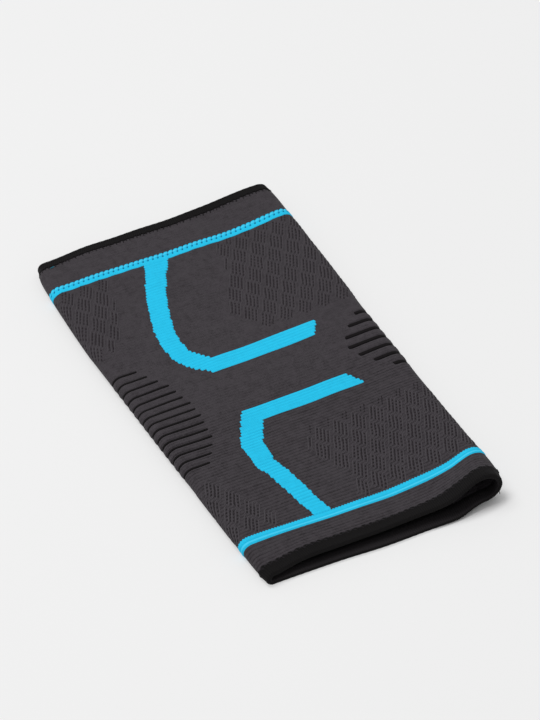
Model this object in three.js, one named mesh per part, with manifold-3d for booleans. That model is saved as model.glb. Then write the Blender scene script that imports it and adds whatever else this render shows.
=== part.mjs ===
// A knitted compression knee sleeve, lying flattened on a table. X runs across it, Y along it from the calf
// end to the thigh end, Z up from the table. All lengths are in millimetres.
import * as THREE from 'three';
import { mergeVertices } from 'three/addons/utils/BufferGeometryUtils.js';
import Module from 'manifold-3d';

const wasm = await Module();
wasm.setup();

// Driving sizes.
const SLEEVE_LENGTH = 265;
const SLEEVE_WIDTH = 143.3;
const REST_HEIGHT = 18.4; // the raised calf corner, the highest point of the sleeve as it lies
const WALL = 1.7;
const GAP = 0.3; // clearance between neighbouring pieces
const INLAY_DEPTH = 0.7; // thickness of every knitted-in coloured piece
const STRIPE_WIDTH = 5.4;
const THIGH_STRIPE_FROM_END = 24.5;
const CALF_STRIPE_FROM_END = 22;
const BAND_WIDTH = 10.6;
const BAND_END_SLANT = 3.2; // how far the slanted bar end leans to each side of its middle
const THIGH_BINDING_WIDTH = 6.5;
const CALF_BINDING_WIDTH = 8;
const BINDING_CLOTH = 0.7;
const BINDING_PROUD = 0.5; // how far the binding stands out from the knit, which it lifts off the table
const TONGUE = 0.65; // thickness of the knit where the binding presses it
const FINE_RIBS = 15;
const FINE_RIB_WIDTH = 0.95;
const FINE_RIB_PITCH = 5.6;
const FINE_RIB_REACH = 28.3; // from the fold's edge inwards, at the middle rib
const FINE_RIBS_MIDDLE = -9;
const BOLD_RIBS = 7;
const BOLD_RIB_WIDTH = 2.2;
const BOLD_RIB_PITCH = 7.3;
const BOLD_RIB_REACH = 21.5;
const BOLD_RIBS_MIDDLE = -6.3;
const RIB_LOWEST = 1.8; // where a rib ends under the fold, above the table

const HALF_LENGTH = SLEEVE_LENGTH / 2;
const HALF_WIDTH = SLEEVE_WIDTH / 2;
const CHANNEL_DEPTH = INLAY_DEPTH + GAP;
const OVERSHOOT = 10; // how far cutting solids run past what they cut
const SKY = REST_HEIGHT + OVERSHOOT;

// Cross sections from the calf end to the thigh end. along is a share of the half length. left and right are
// the two folds' edges, as shares of the half width. The other columns are heights of the outer surface over
// the table, and the folds' reaches inwards to their crests, as shares of the rest height.
const SECTIONS = [
  {
    along: -1.00, left: -0.947, right: 0.893, crestL: 0.37, reachL: 0.19,
    at50L: 0.44, at0: 0.47, at42R: 0.56, at65R: 0.80, crestR: 0.990, reachR: 0.50, lift: 0.24
  },
  {
    along: -0.92, left: -0.958, right: 0.922, crestL: 0.42, reachL: 0.21,
    at50L: 0.48, at0: 0.48, at42R: 0.50, at65R: 0.70, crestR: 0.880, reachR: 0.48, lift: 0.18
  },
  {
    along: -0.81, left: -0.967, right: 0.941, crestL: 0.51, reachL: 0.26,
    at50L: 0.48, at0: 0.48, at42R: 0.49, at65R: 0.59, crestR: 0.780, reachR: 0.44, lift: 0.11
  },
  {
    along: -0.62, left: -0.974, right: 0.957, crestL: 0.51, reachL: 0.27,
    at50L: 0.48, at0: 0.48, at42R: 0.49, at65R: 0.56, crestR: 0.660, reachR: 0.38, lift: 0.03
  },
  {
    along: -0.45, left: -0.979, right: 0.965, crestL: 0.51, reachL: 0.27,
    at50L: 0.48, at0: 0.48, at42R: 0.50, at65R: 0.55, crestR: 0.610, reachR: 0.35, lift: 0.00
  },
  {
    along: -0.19, left: -0.987, right: 0.965, crestL: 0.49, reachL: 0.26,
    at50L: 0.48, at0: 0.48, at42R: 0.50, at65R: 0.54, crestR: 0.570, reachR: 0.32, lift: 0.00
  },
  {
    along: 0.15, left: -0.996, right: 0.972, crestL: 0.47, reachL: 0.26,
    at50L: 0.48, at0: 0.48, at42R: 0.53, at65R: 0.55, crestR: 0.570, reachR: 0.32, lift: 0.00
  },
  {
    along: 0.45, left: -1.000, right: 0.989, crestL: 0.49, reachL: 0.26,
    at50L: 0.49, at0: 0.48, at42R: 0.49, at65R: 0.53, crestR: 0.600, reachR: 0.34, lift: 0.00
  },
  {
    along: 0.81, left: -0.972, right: 1.000, crestL: 0.52, reachL: 0.27,
    at50L: 0.52, at0: 0.48, at42R: 0.48, at65R: 0.53, crestR: 0.650, reachR: 0.35, lift: 0.00
  },
  {
    along: 1.00, left: -0.934, right: 0.972, crestL: 0.39, reachL: 0.20,
    at50L: 0.50, at0: 0.48, at42R: 0.52, at65R: 0.59, crestR: 0.650, reachR: 0.34, lift: 0.00
  },
];
const TOP_COLUMNS = [
  { name: 'at50L', across: -0.50 },
  { name: 'at0', across: 0 },
  { name: 'at42R', across: 0.42 },
  { name: 'at65R', across: 0.65 },
];
const LIFT_STARTS = 0.42; // share of the half width where the raised corner leaves the table
const RINGS_PER_SPAN = 2;
const BOTTOM_STEPS = 4;
const FOLD_STEPS = 6;
const TOP_STEPS = 10;

// Middle lines of the two knee bands: across is a share of the half width, along of the half length.
const THIGH_BAND = [
  { across: -0.140, along: 0.810 },
  { across: -0.236, along: 0.682 },
  { across: -0.301, along: 0.614 },
  { across: -0.356, along: 0.539 },
  { across: -0.399, along: 0.463 },
  { across: -0.447, along: 0.377 },
  { across: -0.461, along: 0.302 },
  { across: -0.451, along: 0.234 },
  { across: -0.394, along: 0.181 },
  { across: -0.286, along: 0.124 },
  { across: 0.548, along: 0.124 },
];
const CALF_BAND = [
  { across: -0.307, along: -0.825 },
  { across: -0.339, along: -0.737 },
  { across: -0.367, along: -0.646 },
  { across: -0.412, along: -0.510 },
  { across: -0.437, along: -0.457 },
  { across: -0.435, along: -0.344 },
  { across: -0.395, along: -0.295 },
  { across: -0.297, along: -0.202 },
  { across: 0.544, along: -0.202 },
];
const BAND_BASE = 0.22; // share of the rest height, inside the hollow, where the bands' cutting prisms start

// A rib's reach falls by a little from rib to rib, and faster past the ribs next to the middle ones.
const FINE_TAPER = { near: 0.9, far: 3.25, steps: 4 };
const BOLD_TAPER = { near: 1.7, far: 6.6, steps: 1 };

const KNIT = { color: 0x403d40, roughness: 0.95, metalness: 0 };
const BLUE = { color: 0x30c4ee, roughness: 0.85, metalness: 0 };
const BLACK = { color: 0x171415, roughness: 0.9, metalness: 0 };

// Cubic curve through the knots, level at both ends.
function smoothAt(knots, values, at) {
  const last = knots.length - 1;
  if (at <= knots[0]) return values[0];
  if (at >= knots[last]) return values[last];
  let i = 0;
  while (knots[i + 1] < at) i += 1;
  const slope = (k) => {
    if (k === 0 || k === last) return 0;
    return (values[k + 1] - values[k - 1]) / (knots[k + 1] - knots[k - 1]);
  };
  const span = knots[i + 1] - knots[i];
  const t = (at - knots[i]) / span;
  const h00 = (1 + 2 * t) * (1 - t) ** 2;
  const h10 = t * (1 - t) ** 2;
  const h01 = t * t * (3 - 2 * t);
  const h11 = t * t * (t - 1);
  return h00 * values[i] + h10 * span * slope(i) + h01 * values[i + 1] + h11 * span * slope(i + 1);
}

const ALONGS = SECTIONS.map((row) => row.along);

function columnAt(name, along) {
  return smoothAt(ALONGS, SECTIONS.map((row) => row[name]), along);
}

// The closed outline of the sleeve at one place along it, inset from the outer surface by a thickness.
// It starts at the left fold and goes along the table, up the right fold, back over the top and down.
function outlineAt(along, inset) {
  const left = columnAt('left', along) * HALF_WIDTH + inset;
  const right = columnAt('right', along) * HALF_WIDTH - inset;
  const reachL = Math.max(columnAt('reachL', along) * REST_HEIGHT - inset, GAP);
  const reachR = Math.max(columnAt('reachR', along) * REST_HEIGHT - inset, GAP);
  const base = BINDING_PROUD + inset;
  const lift = columnAt('lift', along) * REST_HEIGHT;
  const startX = left + reachL;
  const endX = right - reachR;
  const knots = [startX, ...TOP_COLUMNS.map((c) => c.across * HALF_WIDTH), endX];
  const names = ['crestL', ...TOP_COLUMNS.map((c) => c.name), 'crestR'];
  const heights = names.map((name) => columnAt(name, along) * REST_HEIGHT - inset);
  const liftAt = (x) => lift * THREE.MathUtils.smoothstep(x, LIFT_STARTS * HALF_WIDTH, endX);
  const points = [];
  const fold = (x, low, high, reach, from) => {
    for (let i = 1; i < FOLD_STEPS; i += 1) {
      const angle = from + (Math.PI * i) / FOLD_STEPS;
      const z = (low + high) / 2 + ((high - low) / 2) * Math.sin(angle);
      points.push(new THREE.Vector2(x + reach * Math.cos(angle), z));
    }
  };
  for (let i = 0; i <= BOTTOM_STEPS; i += 1) {
    const x = THREE.MathUtils.lerp(startX, endX, i / BOTTOM_STEPS);
    points.push(new THREE.Vector2(x, base + liftAt(x)));
  }
  fold(endX, base + lift, heights[heights.length - 1], reachR, -Math.PI / 2);
  for (let i = 0; i <= TOP_STEPS; i += 1) {
    const x = THREE.MathUtils.lerp(endX, startX, i / TOP_STEPS);
    points.push(new THREE.Vector2(x, smoothAt(knots, heights, x)));
  }
  fold(startX, base, heights[0], reachL, Math.PI / 2);
  return points;
}

// Places along the sleeve where its outline is worked out, with one past each end.
function ringPlaces() {
  const places = [{ along: -1, y: -HALF_LENGTH - OVERSHOOT }];
  for (let i = 0; i < ALONGS.length - 1; i += 1) {
    for (let k = 0; k < RINGS_PER_SPAN; k += 1) {
      const along = THREE.MathUtils.lerp(ALONGS[i], ALONGS[i + 1], k / RINGS_PER_SPAN);
      places.push({ along, y: along * HALF_LENGTH });
    }
  }
  places.push({ along: 1, y: HALF_LENGTH });
  places.push({ along: 1, y: HALF_LENGTH + OVERSHOOT });
  return places;
}

function toSolid(geometry) {
  geometry.deleteAttribute('normal');
  geometry.deleteAttribute('uv');
  const merged = mergeVertices(geometry);
  return new wasm.Manifold(new wasm.Mesh({
    numProp: 3,
    vertProperties: new Float32Array(merged.attributes.position.array),
    triVerts: new Uint32Array(merged.index.array),
  }));
}

function toGeometry(solid) {
  const mesh = solid.getMesh();
  const geometry = new THREE.BufferGeometry();
  geometry.setAttribute('position', new THREE.BufferAttribute(mesh.vertProperties, 3));
  geometry.setIndex(new THREE.BufferAttribute(mesh.triVerts, 1));
  geometry.computeVertexNormals();
  return geometry;
}

// The sleeve's whole form as a filled solid, inset from its outer surface and longer than the sleeve.
function filledSleeve(inset) {
  const positions = [];
  const indices = [];
  const places = ringPlaces();
  const outlines = [];
  for (const place of places) {
    const outline = outlineAt(place.along, inset);
    outlines.push(outline);
    for (const point of outline) positions.push(point.x, place.y, point.y);
  }
  const count = outlines[0].length;
  for (let ring = 0; ring < places.length - 1; ring += 1) {
    for (let i = 0; i < count; i += 1) {
      const next = (i + 1) % count;
      const a = ring * count + i;
      const b = ring * count + next;
      const c = b + count;
      const d = a + count;
      indices.push(a, d, b, b, d, c);
    }
  }
  const lastRing = (places.length - 1) * count;
  for (const [i, j, k] of THREE.ShapeUtils.triangulateShape(outlines[0], [])) indices.push(i, j, k);
  for (const [i, j, k] of THREE.ShapeUtils.triangulateShape(outlines[outlines.length - 1], [])) {
    indices.push(lastRing + i, lastRing + k, lastRing + j);
  }
  const geometry = new THREE.BufferGeometry();
  geometry.setAttribute('position', new THREE.BufferAttribute(new Float32Array(positions), 3));
  geometry.setIndex(indices);
  return toSolid(geometry);
}

// Everything between two places along the sleeve.
function slab(from, to) {
  const geometry = new THREE.BoxGeometry(SLEEVE_WIDTH + 2 * OVERSHOOT, to - from, 2 * SKY);
  geometry.translate(0, (from + to) / 2, 0);
  return toSolid(geometry);
}

// A plan outline raised straight up from a height to above the sleeve.
function prism(outline, from) {
  const geometry = new THREE.ExtrudeGeometry(new THREE.Shape(outline), { depth: SKY - from, bevelEnabled: false });
  geometry.translate(0, 0, from);
  return toSolid(geometry);
}

const outerForm = filledSleeve(0);
const belowInlays = filledSleeve(INLAY_DEPTH);
const belowChannels = filledSleeve(CHANNEL_DEPTH);
const hollow = filledSleeve(WALL);

const thighStripeFrom = HALF_LENGTH - THIGH_STRIPE_FROM_END - STRIPE_WIDTH;
const thighStripeTo = HALF_LENGTH - THIGH_STRIPE_FROM_END;
const calfStripeFrom = -HALF_LENGTH + CALF_STRIPE_FROM_END;
const calfStripeTo = -HALF_LENGTH + CALF_STRIPE_FROM_END + STRIPE_WIDTH;

// The layers of the outer surface that a knitted-in piece and its channel take up.
const inlay = (cutter) => outerForm.intersect(cutter).subtract(belowInlays);
const channel = (cutter) => cutter.subtract(belowChannels);

// A band's plan outline: its middle line widened to both sides, with mitred bends and a slanted last end.
function bandOutline(line, halfWidth, slantSign, endGap) {
  const points = line.map((p) => new THREE.Vector2(p.across * HALF_WIDTH, p.along * HALF_LENGTH));
  const runs = points.slice(1).map((point, i) => point.clone().sub(points[i]).normalize());
  const across = (run) => new THREE.Vector2(-run.y, run.x);
  const slant = (BAND_END_SLANT * halfWidth) / (BAND_WIDTH / 2);
  const sides = [[], []];
  points.forEach((point, i) => {
    const into = runs[Math.max(i - 1, 0)];
    const out = runs[Math.min(i, runs.length - 1)];
    const miter = across(into.clone().add(out)).normalize();
    const stretch = halfWidth / miter.dot(across(out));
    const isEnd = i === points.length - 1;
    [1, -1].forEach((side, k) => {
      const corner = point.clone().addScaledVector(miter, side * stretch);
      if (isEnd) corner.x += endGap + side * slantSign * slant;
      sides[k].push(corner);
    });
  });
  return [...sides[0], ...sides[1].reverse()];
}

// Each band stops short of its stripe, whose ring runs on by itself. end is the side that the stripe is on.
function kneeBand(line, slantSign, end, stripeEdge) {
  const base = BAND_BASE * REST_HEIGHT;
  const past = (from) => slab(Math.min(from, end * HALF_LENGTH), Math.max(from, end * HALF_LENGTH));
  const shape = prism(bandOutline(line, BAND_WIDTH / 2, slantSign, 0), base);
  const grown = prism(bandOutline(line, BAND_WIDTH / 2 + GAP, slantSign, GAP), base);
  return {
    piece: inlay(shape.subtract(past(stripeEdge - end * GAP))),
    cut: channel(grown.subtract(past(stripeEdge))),
  };
}

// A rib lies straight across the sleeve and bends down over the fold on its side.
function rib(side, y, width, reach) {
  const along = y / HALF_LENGTH;
  const edge = columnAt(side < 0 ? 'left' : 'right', along) * HALF_WIDTH;
  const box = (grow) => {
    const inner = edge - side * (reach + grow);
    const outer = edge + side * OVERSHOOT;
    const halfWidth = width / 2 + grow;
    const corners = [[inner, y - halfWidth], [outer, y - halfWidth], [outer, y + halfWidth], [inner, y + halfWidth]];
    const outline = (side > 0 ? corners : corners.reverse()).map(([x, place]) => new THREE.Vector2(x, place));
    return prism(outline, RIB_LOWEST - grow);
  };
  return { piece: inlay(box(0)), cut: channel(box(GAP)) };
}

function ribFamily(side, count, middle, pitch, width, middleReach, taper) {
  const ribs = [];
  for (let i = 0; i < count; i += 1) {
    const steps = i - (count - 1) / 2;
    const past = Math.max(Math.abs(steps) - taper.steps, 0);
    const near = Math.abs(steps) - past;
    const reach = middleReach - near * taper.near - past * taper.far;
    ribs.push(rib(side, middle + steps * pitch, width, reach));
  }
  return ribs;
}

// A binding folds round the end of the knit: an outer leg, the edge and an inner leg round a slot.
const tongueOuter = BINDING_CLOTH - BINDING_PROUD + GAP;
const tongueInner = tongueOuter + TONGUE;
const slotOuter = filledSleeve(tongueOuter - GAP);
const slotInner = filledSleeve(tongueInner + GAP);
const bindingOutside = filledSleeve(-BINDING_PROUD);
const bindingInside = filledSleeve(tongueInner + GAP + BINDING_CLOTH);
const tongueOutside = filledSleeve(tongueOuter);
const tongueInside = filledSleeve(tongueInner);

function binding(end, width) {
  const edge = end * HALF_LENGTH;
  const inner = edge - end * width;
  const slotEnd = edge - end * BINDING_CLOTH;
  const between = (a, b) => slab(Math.min(a, b), Math.max(a, b));
  const whole = bindingOutside.subtract(bindingInside).intersect(between(inner, edge));
  const slot = slotOuter.subtract(slotInner).intersect(between(inner - end * OVERSHOOT, slotEnd));
  return {
    piece: whole.subtract(slot),
    // What the knit keeps inside the binding, and the stretch of knit that it replaces.
    tongue: tongueOutside.subtract(tongueInside).intersect(between(inner - end * GAP, slotEnd - end * GAP)),
    from: inner - end * GAP,
  };
}

const thighBinding = binding(1, THIGH_BINDING_WIDTH);
const calfBinding = binding(-1, CALF_BINDING_WIDTH);
const thighBand = kneeBand(THIGH_BAND, 1, 1, thighStripeFrom);
const calfBand = kneeBand(CALF_BAND, -1, -1, calfStripeTo);
const fineRibs = ribFamily(
  -1, FINE_RIBS, FINE_RIBS_MIDDLE, FINE_RIB_PITCH, FINE_RIB_WIDTH, FINE_RIB_REACH, FINE_TAPER,
);
const boldRibs = ribFamily(
  1, BOLD_RIBS, BOLD_RIBS_MIDDLE, BOLD_RIB_PITCH, BOLD_RIB_WIDTH, BOLD_RIB_REACH, BOLD_TAPER,
);

function knitTube() {
  let tube = outerForm.subtract(hollow).intersect(slab(calfBinding.from, thighBinding.from));
  tube = tube.add(thighBinding.tongue).add(calfBinding.tongue);
  tube = tube.subtract(channel(slab(thighStripeFrom - GAP, thighStripeTo + GAP)));
  tube = tube.subtract(channel(slab(calfStripeFrom - GAP, calfStripeTo + GAP)));
  for (const set of [thighBand, calfBand, ...fineRibs, ...boldRibs]) tube = tube.subtract(set.cut);
  return tube;
}

const group = new THREE.Group();

function addPiece(name, solid, finish) {
  const mesh = new THREE.Mesh(toGeometry(solid), new THREE.MeshStandardMaterial(finish));
  mesh.name = name;
  group.add(mesh);
}

addPiece('knit_tube', knitTube(), KNIT);
addPiece('thigh_stripe', inlay(slab(thighStripeFrom, thighStripeTo)), BLUE);
addPiece('calf_stripe', inlay(slab(calfStripeFrom, calfStripeTo)), BLUE);
addPiece('thigh_knee_band', thighBand.piece, BLUE);
addPiece('calf_knee_band', calfBand.piece, BLUE);
addPiece('thigh_binding', thighBinding.piece, BLACK);
addPiece('calf_binding', calfBinding.piece, BLACK);
fineRibs.forEach((set, i) => addPiece(`fine_rib_${i + 1}`, set.piece, BLACK));
boldRibs.forEach((set, i) => addPiece(`bold_rib_${i + 1}`, set.piece, BLACK));

export default group;
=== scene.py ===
import math

import bmesh
import bpy
import numpy as np
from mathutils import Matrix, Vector


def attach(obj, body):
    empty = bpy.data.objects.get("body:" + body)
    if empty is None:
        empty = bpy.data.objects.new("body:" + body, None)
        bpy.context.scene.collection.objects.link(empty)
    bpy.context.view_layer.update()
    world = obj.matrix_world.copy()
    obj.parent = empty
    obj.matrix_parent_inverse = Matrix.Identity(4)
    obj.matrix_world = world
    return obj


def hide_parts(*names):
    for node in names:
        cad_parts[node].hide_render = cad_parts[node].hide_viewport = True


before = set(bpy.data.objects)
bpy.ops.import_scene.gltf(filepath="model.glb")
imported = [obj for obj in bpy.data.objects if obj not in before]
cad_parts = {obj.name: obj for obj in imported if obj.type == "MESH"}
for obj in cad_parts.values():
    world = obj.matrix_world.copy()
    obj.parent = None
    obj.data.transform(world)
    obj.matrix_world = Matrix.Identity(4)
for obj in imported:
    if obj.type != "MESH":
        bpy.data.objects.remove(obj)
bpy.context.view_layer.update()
scene = bpy.context.scene
scene.view_settings.view_transform = "Standard"

# The stage: a wide pale table top that glows a little, except under the sleeve's raised corner, an even white
# studio, and one large soft lamp behind, above and to the left. The camera looks down from the calf end.
FLOOR_SIZE = 12.0
PAPER_GLOW, PAPER_GRAIN = 0.52, 0.3
PAPER_SHADES = (155, 155, 155), (158, 158, 158)
LIP_SHADOW, LIP_SHADOW_SIZE, LIP_SHADOW_FADE = (0.046, -0.130), (0.024, 0.0075), (0.3, 1.5)
LIP_PAPER = (235, 235, 235)
BLACK, WHITE = (0.0, 0.0, 0.0, 1.0), (1.0, 1.0, 1.0, 1.0)
STUDIO_STRENGTH = 0.535
LAMP_FROM = Vector((-0.75, 0.55, 2.3))
LAMP_SIZE = 1.4
LAMP_WATTS = 36.0
CAMERA_AZIMUTH, CAMERA_ELEVATION = -27.93, 42.22
CAMERA_DISTANCE = 2.0
CAMERA_LENS = 194.2
FRAME_RIGHT, FRAME_UP = 0.0038, 0.0120
LOOKED_AT = Vector((-0.00065, 0.0, 0.0))


def srgb(red, green, blue):
    """A colour as it shows on a screen, 0 to 255, as linear values for a shader."""
    def linear(value):
        share = value / 255
        return share / 12.92 if share <= 0.04045 else ((share + 0.055) / 1.055) ** 2.4

    return (linear(red), linear(green), linear(blue), 1.0)


class Shade:
    """A socket in a material's nodes. Maths on it adds the nodes that work it out."""

    def __init__(self, tree, socket=None):
        self.tree, self.socket = tree, socket

    def node(self, kind, settings=(), sockets=(), out=0):
        """Adds a node with these settings and sockets, and gives one of its outputs."""
        made = self.tree.nodes.new(kind)
        for name, value in dict(settings).items():
            setattr(made, name, value)
        for name, value in dict(sockets).items():
            if isinstance(value, Shade):
                self.tree.links.new(value.socket, made.inputs[name])
            else:
                made.inputs[name].default_value = value
        return Shade(self.tree, made.outputs[out])

    def maths(self, operation, *values):
        return self.node("ShaderNodeMath", {"operation": operation}, dict(enumerate(values)))

    def noise(self, size, detail=2.0, roughness=0.5):
        """Even noise, 0 to 1, with blotches of about this size in metres."""
        place = self.node("ShaderNodeTexCoord", (), (), "Object")
        sockets = {"Vector": place, "Scale": 1 / size, "Detail": detail, "Roughness": roughness}
        return self.node("ShaderNodeTexNoise", (), sockets)

    def __add__(self, other):
        return self.maths("ADD", self, other)

    def __sub__(self, other):
        return self.maths("SUBTRACT", self, other)

    def __mul__(self, other):
        return self.maths("MULTIPLY", self, other)

    def __truediv__(self, other):
        return self.maths("DIVIDE", self, other)

    def __pow__(self, other):
        return self.maths("POWER", self, other)

    def __rsub__(self, other):
        return self.maths("SUBTRACT", other, self)

    def __abs__(self):
        return self.maths("ABSOLUTE", self)

    __rmul__ = __mul__

    def x_and_y(self):
        """The first two values of a place, each as a socket of its own."""
        split = self.node("ShaderNodeSeparateXYZ", (), {0: self}).socket.node
        return Shade(self.tree, split.outputs["X"]), Shade(self.tree, split.outputs["Y"])

    def part(self):
        """What is past the last whole number."""
        return self.maths("FRACT", self)

    def wave(self):
        """0 at whole numbers, 1 halfway between them."""
        return 0.5 - 0.5 * self.maths("COSINE", self * (2 * math.pi))

    def between(self, low, high):
        """0 below low, 1 above high, smooth between."""
        sockets = {"Value": self, "From Min": low, "From Max": high}
        return self.node("ShaderNodeMapRange", {"interpolation_type": "SMOOTHSTEP"}, sockets)

    def colours(self, first, second):
        """From the first colour, where this is 0, to the second, where it is 1."""
        return self.node("ShaderNodeMix", {"data_type": "RGBA"}, {0: self, 6: first, 7: second}, 2)


def new_material(name):
    """A material with its Principled shader and a Shade that nodes are made from."""
    material = bpy.data.materials.new(name)
    material.use_nodes = True
    return material, material.node_tree.nodes["Principled BSDF"], Shade(material.node_tree)


def plug(shader, name, shade):
    shade.tree.links.new(shade.socket, shader.inputs[name])


floor_mesh = bmesh.new()
bmesh.ops.create_grid(floor_mesh, x_segments=1, y_segments=1, size=FLOOR_SIZE / 2)
floor_data = bpy.data.meshes.new("table_top")
floor_mesh.to_mesh(floor_data)
floor_mesh.free()
table_top = bpy.data.objects.new("table_top", floor_data)
scene.collection.objects.link(table_top)

paper, paper_shader, paper_nodes = new_material("pale_table")
paper_x, paper_y = paper_nodes.node("ShaderNodeTexCoord", (), (), "Object").x_and_y()
from_lip_x = (paper_x - LIP_SHADOW[0]) / LIP_SHADOW_SIZE[0]
from_lip_y = (paper_y - LIP_SHADOW[1]) / LIP_SHADOW_SIZE[1]
paper_open = (from_lip_x ** 2 + from_lip_y ** 2).between(*LIP_SHADOW_FADE)
paper_glowing = paper_nodes.noise(PAPER_GRAIN).colours(*(srgb(*shade) for shade in PAPER_SHADES))
plug(paper_shader, "Base Color", paper_open.colours(srgb(*LIP_PAPER), paper_glowing))
plug(paper_shader, "Emission Color", paper_open.colours(BLACK, WHITE))
paper_shader.inputs["Emission Strength"].default_value = PAPER_GLOW
paper_shader.inputs["Roughness"].default_value = 0.9
paper_shader.inputs["Specular IOR Level"].default_value = 0.1
floor_data.materials.append(paper)

studio = bpy.data.worlds.new("studio")
studio.use_nodes = True
studio_light = studio.node_tree.nodes["Background"].inputs
studio_light["Color"].default_value = WHITE
studio_light["Strength"].default_value = STUDIO_STRENGTH
scene.world = studio

lamp_data = bpy.data.lights.new("soft_lamp", "AREA")
lamp_data.shape = "DISK"
lamp_data.size = LAMP_SIZE
lamp_data.energy = LAMP_WATTS
soft_lamp = bpy.data.objects.new("soft_lamp", lamp_data)
soft_lamp.location = LAMP_FROM
soft_lamp.rotation_euler = (-LAMP_FROM).to_track_quat("-Z", "Y").to_euler()
scene.collection.objects.link(soft_lamp)

turn, tilt = math.radians(CAMERA_AZIMUTH), math.radians(CAMERA_ELEVATION)
back = Vector((math.sin(turn) * math.cos(tilt), -math.cos(turn) * math.cos(tilt), math.sin(tilt)))
to_right = Vector((math.cos(turn), math.sin(turn), 0.0))
to_top = back.cross(to_right)
camera_data = bpy.data.cameras.new("camera")
camera_data.lens = CAMERA_LENS
camera = bpy.data.objects.new("camera", camera_data)
camera.location = LOOKED_AT + back * CAMERA_DISTANCE + to_right * FRAME_RIGHT + to_top * FRAME_UP
camera.rotation_euler = (-back).to_track_quat("-Z", "Y").to_euler()
scene.collection.objects.link(camera)
scene.camera = camera

# The sleeve's body: one seamless tube of dark grey elastic yarn, circular knitted, with its courses running
# across and both cuffs in the same piece. It lies pressed flat, with the right corner of its calf end raised.
HALF_LENGTH, HALF_WIDTH = 132.5, 71.65
REST_HEIGHT = 18.4
KNIT_OFF_TABLE = 0.5
WALL = 1.7
THIGH_BINDING_WIDTH, CALF_BINDING_WIDTH = 6.5, 8.0
THIGH_STRIPE = (102.6, 108.0)
CALF_STRIPE = (-110.5, -105.1)
ALONGS = (-1.00, -0.92, -0.81, -0.62, -0.45, -0.19, 0.15, 0.45, 0.81, 0.91, 1.00)
PROFILE = {
    "left": (-0.932, -0.955, -0.967, -0.976, -0.981, -0.991, -1.001, -1.010, -0.986, -0.970, -0.924),
    "right": (0.893, 0.935, 0.950, 0.955, 0.963, 0.968, 0.976, 0.991, 0.998, 1.000, 0.986),
    "crest_left": (0.37, 0.42, 0.51, 0.51, 0.51, 0.49, 0.47, 0.49, 0.52, 0.47, 0.39),
    "reach_left": (0.19, 0.21, 0.26, 0.27, 0.27, 0.26, 0.26, 0.26, 0.27, 0.24, 0.20),
    "at_50_left": (0.44, 0.48, 0.48, 0.48, 0.48, 0.48, 0.48, 0.49, 0.52, 0.52, 0.50),
    "at_0": (0.47, 0.48, 0.48, 0.48, 0.48, 0.48, 0.48, 0.48, 0.48, 0.48, 0.48),
    "at_42_right": (0.57, 0.51, 0.49, 0.49, 0.50, 0.50, 0.53, 0.49, 0.48, 0.50, 0.52),
    "at_65_right": (0.86, 0.74, 0.60, 0.56, 0.55, 0.54, 0.55, 0.53, 0.53, 0.56, 0.59),
    "crest_right": (1.060, 0.930, 0.810, 0.660, 0.610, 0.570, 0.570, 0.600, 0.650, 0.650, 0.650),
    "reach_right": (0.50, 0.48, 0.44, 0.38, 0.35, 0.32, 0.32, 0.34, 0.35, 0.345, 0.34),
    "lift": (0.16, 0.11, 0.06, 0.02, 0.00, 0.00, 0.00, 0.00, 0.00, 0.00, 0.00),
}
TOP_KNOTS = (("at_50_left", -0.50), ("at_0", 0.0), ("at_42_right", 0.42), ("at_65_right", 0.65))
LIFT_STARTS = 0.50
MM = 0.001
WELD = 1e-6

# The cloth doesn't lie square: its ends and stripes wander along the sleeve by a few millimetres. One row for
# each such line, by its place along the sleeve, with a value for each place round it, as s in skin.
SHIFT_ROUND = (
    0.0, 0.12, 0.32, 0.51, 0.71, 0.86, 0.95, 1.0, 1.5, 2.0, 2.05, 2.14, 2.29, 2.49, 2.68, 2.88, 3.0, 3.5, 4.0
)
CLOTH_SHIFT = {
    -132.5: (
        1.2, 0.9, 0.0, -1.7, -2.0, -2.2, -0.6, 0.0, 0.0, 1.0, 2.0, 1.2, 2.0, 2.7, 3.4, 3.7, 2.2, 1.2, 1.2
    ),
    -124.5: (
        0.6, 0.4, 0.0, -0.5, -0.5, -0.5, 0.0, 0.0, 0.2, 2.6, 2.8, 2.0, 1.1, 1.0, 2.4, 2.7, 1.6, 0.8, 0.6
    ),
    -107.8: (0.4,) + (0.0,) * 6 + (0.1, 0.4, 0.3, 0.0, -0.5, -1.0, -1.4, -0.3, 0.9, 0.9, 0.8, 0.4),
    -92.0: (0.0,) * len(SHIFT_ROUND),
    88.0: (0.0,) * len(SHIFT_ROUND),
    105.3: (0.0,) * 7 + (-0.8, -1.6, -1.6, -1.6, -1.5, -1.3, -1.0, -0.8, -0.6, -0.5, -0.3, 0.0),
    122.0: (0.0,) * len(SHIFT_ROUND),
    132.5: (-0.5,) * 8 + (-1.2, -1.4, -1.4, -1.5, -1.7, -1.7, -1.7, -1.6, -1.5, -1.1, -0.5),
}
SHIFT_STEPS = 400


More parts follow.
